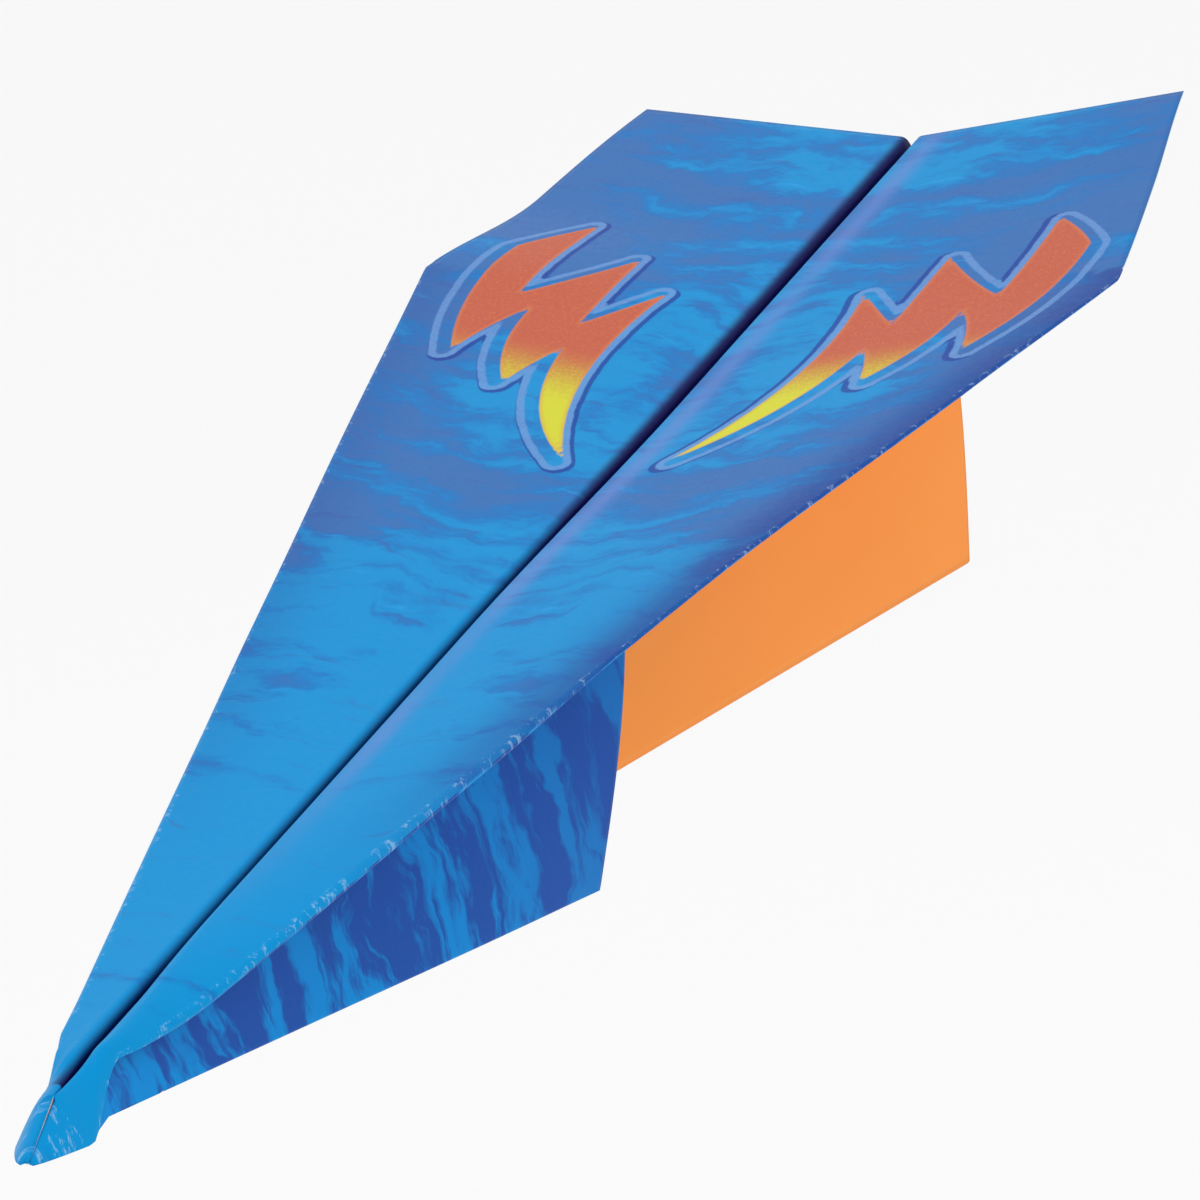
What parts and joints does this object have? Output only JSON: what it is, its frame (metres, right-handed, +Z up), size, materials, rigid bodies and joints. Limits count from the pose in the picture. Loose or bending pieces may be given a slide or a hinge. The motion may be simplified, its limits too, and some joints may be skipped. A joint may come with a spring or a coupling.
{
  "type": "paper dart",
  "caption": "Folded paper dart with a narrow keeled body, swept wings that fold at the root, and loose flaps along the body's sides; printed on one face and plain on the other.",
  "frame": {"origin": "the grip point, on the middle plane of the body, 20 mm above the keel and 168 mm behind the point at the nose where the creases meet", "axes": "+X along the keel towards the nose, +Y towards the left wing, +Z up"},
  "size_m": [0.3017, 0.1096, 0.0792],
  "materials": {
    "printed_face": "coated paper, printed, satin",
    "printed_shade": "coated paper, printed in a darker tone, satin",
    "plain_back": "uncoated coloured paper, matt",
    "worn_crease": "printed paper, rubbed pale along the fold"
  },
  "bodies": {
    "keel": {"keel_fold": "plain_back"},
    "left_body": {"left_side": "plain_back", "left_side_lining": "printed_face", "left_root_fold": "printed_face"},
    "left_wing": {"left_wing": "printed_face", "left_wing_front_layer": "printed_face", "left_wing_back_layer": "printed_face", "left_wing_underside": "printed_shade", "left_leading_fold": "worn_crease", "left_inner_fold": "plain_back"},
    "left_flap": {"left_flap": "printed_shade", "left_flap_lining": "printed_face", "left_flap_fold": "printed_shade"},
    "right_body": {"right_side": "plain_back", "right_side_lining": "printed_face", "right_root_fold": "printed_face"},
    "right_wing": {"right_wing": "printed_face", "right_wing_front_layer": "printed_face", "right_wing_back_layer": "printed_face", "right_wing_underside": "printed_shade", "right_leading_fold": "worn_crease", "right_inner_fold": "plain_back"},
    "right_flap": {"right_flap": "printed_shade", "right_flap_lining": "printed_face", "right_flap_fold": "printed_shade"}
  },
  "joints": [
    {"name": "left_keel_crease", "type": "hinge", "parent": "keel", "child": "left_body", "pos_m": [0, 0, -0.02], "axis": [1, 0, 0], "range_deg": [-24, 1]},
    {"name": "right_keel_crease", "type": "hinge", "parent": "keel", "child": "right_body", "pos_m": [0, 0, -0.02], "axis": [-1, 0, 0], "range_deg": [-24, 1]},
    {"name": "left_root_crease", "type": "hinge", "parent": "left_body", "child": "left_wing", "pos_m": [0.02143, 0.00291, 0.01184], "axis": [-0.9771, 0.0037, 0.2125], "range_deg": [-90, 74]},
    {"name": "right_root_crease", "type": "hinge", "parent": "right_body", "child": "right_wing", "pos_m": [0.02143, -0.00291, 0.01184], "axis": [0.9771, 0.0037, -0.2125], "range_deg": [-83, 81]},
    {"name": "left_flap_crease", "type": "hinge", "parent": "left_body", "child": "left_flap", "pos_m": [0.02143, 0.00291, 0.01184], "axis": [-0.9771, 0.0037, 0.2125], "range_deg": [-60, 14]},
    {"name": "right_flap_crease", "type": "hinge", "parent": "right_body", "child": "right_flap", "pos_m": [0.02143, -0.00291, 0.01184], "axis": [0.9771, 0.0037, -0.2125], "range_deg": [-60, 14]}
  ],
  "couplings": [
    {"joint": "right_keel_crease", "follows": "left_keel_crease", "ratio": 1}
  ]
}
